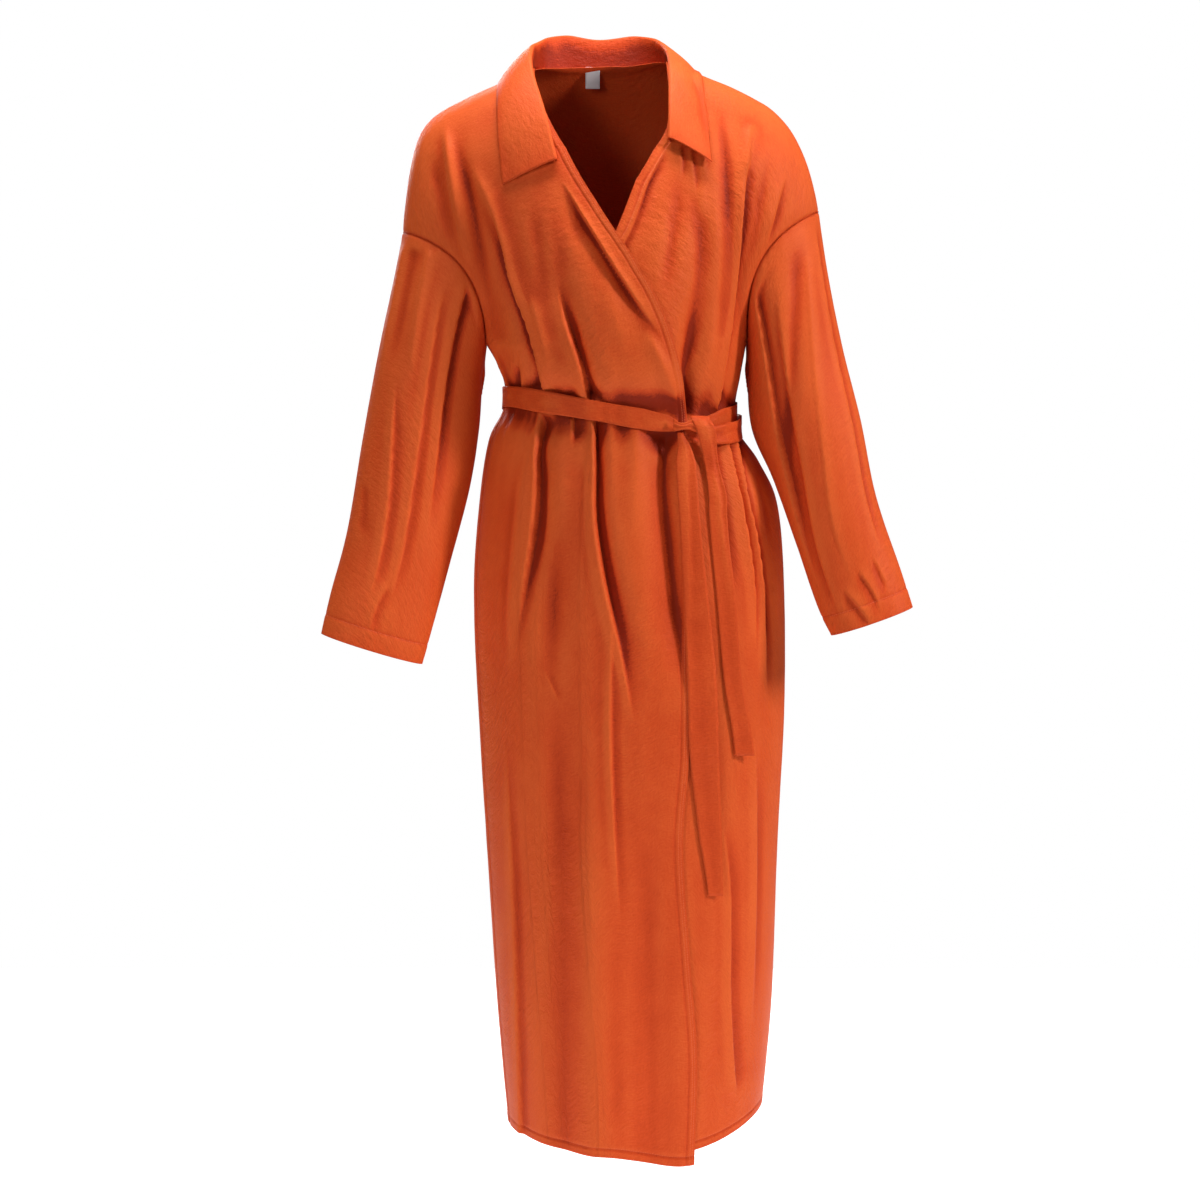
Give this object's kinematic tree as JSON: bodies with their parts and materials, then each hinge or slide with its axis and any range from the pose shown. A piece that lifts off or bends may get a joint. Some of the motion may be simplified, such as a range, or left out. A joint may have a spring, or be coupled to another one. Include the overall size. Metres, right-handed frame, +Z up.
{
  "type": "wrap dress",
  "caption": "Long-sleeved maxi wrap dress with a pointed collar, dropped shoulders and a waist tie knotted at one side, hollow and open as worn.",
  "frame": {"origin": "between the wearer's shoulders, at the height of the neck opening's sides, in the plane of the side seams", "axes": "+Z up along the wearer, front towards -Y, the wearer's left towards +X"},
  "size_m": [0.711, 0.2634, 1.3737],
  "materials": {
    "dress_cloth": "softly sheened crinkled weave",
    "label_satin": "plain satin"
  },
  "bodies": {
    "root": {"back": "dress_cloth", "front_over": "dress_cloth", "front_under": "dress_cloth", "sleeve_right": "dress_cloth", "sleeve_left": "dress_cloth", "collar": "dress_cloth", "tie_short": "dress_cloth", "tie_long": "dress_cloth", "knot": "dress_cloth", "tail_long": "dress_cloth", "tail_short": "dress_cloth", "neck_label": "label_satin"}
  },
  "joints": []
}
